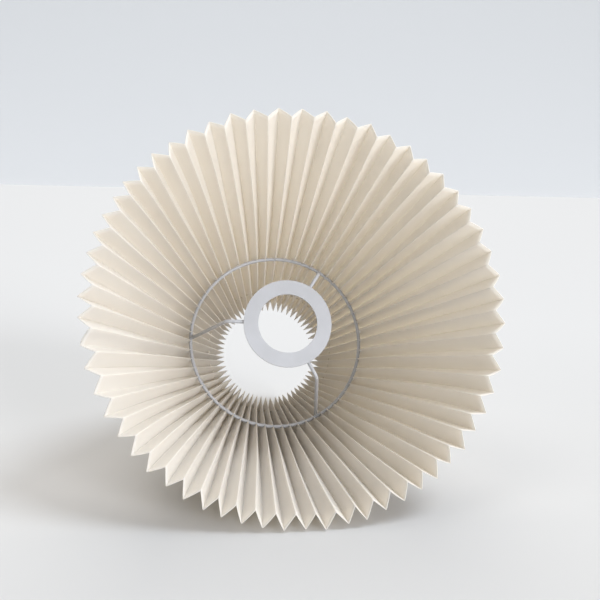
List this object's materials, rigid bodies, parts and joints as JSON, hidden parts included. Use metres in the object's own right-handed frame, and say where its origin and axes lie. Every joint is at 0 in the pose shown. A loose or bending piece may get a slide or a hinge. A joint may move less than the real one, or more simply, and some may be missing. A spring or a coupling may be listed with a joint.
{
  "type": "lamp shade",
  "caption": "Pleated conical lamp shade of folded laminate on a wire spider frame with a flat fitter washer near the wide rim.",
  "frame": {"origin": "on the shade's axis, in the plane that the wide rim stands on", "axes": "+Z along the shade's axis from the wide rim to the small end; +X and +Y across, the glued lap near -X"},
  "size_m": [0.2628, 0.2628, 0.2074],
  "materials": {
    "shade_laminate": "satin",
    "thread": "matte",
    "frame_paint": "satin"
  },
  "bodies": {
    "root": {"pleated_shade": "shade_laminate", "lap_seam": "shade_laminate", "gather_thread": "thread", "thread_knot": "thread", "carrier_ring": "frame_paint", "arm_1": "frame_paint", "arm_2": "frame_paint", "arm_3": "frame_paint", "fitter_washer": "frame_paint"}
  },
  "joints": []
}
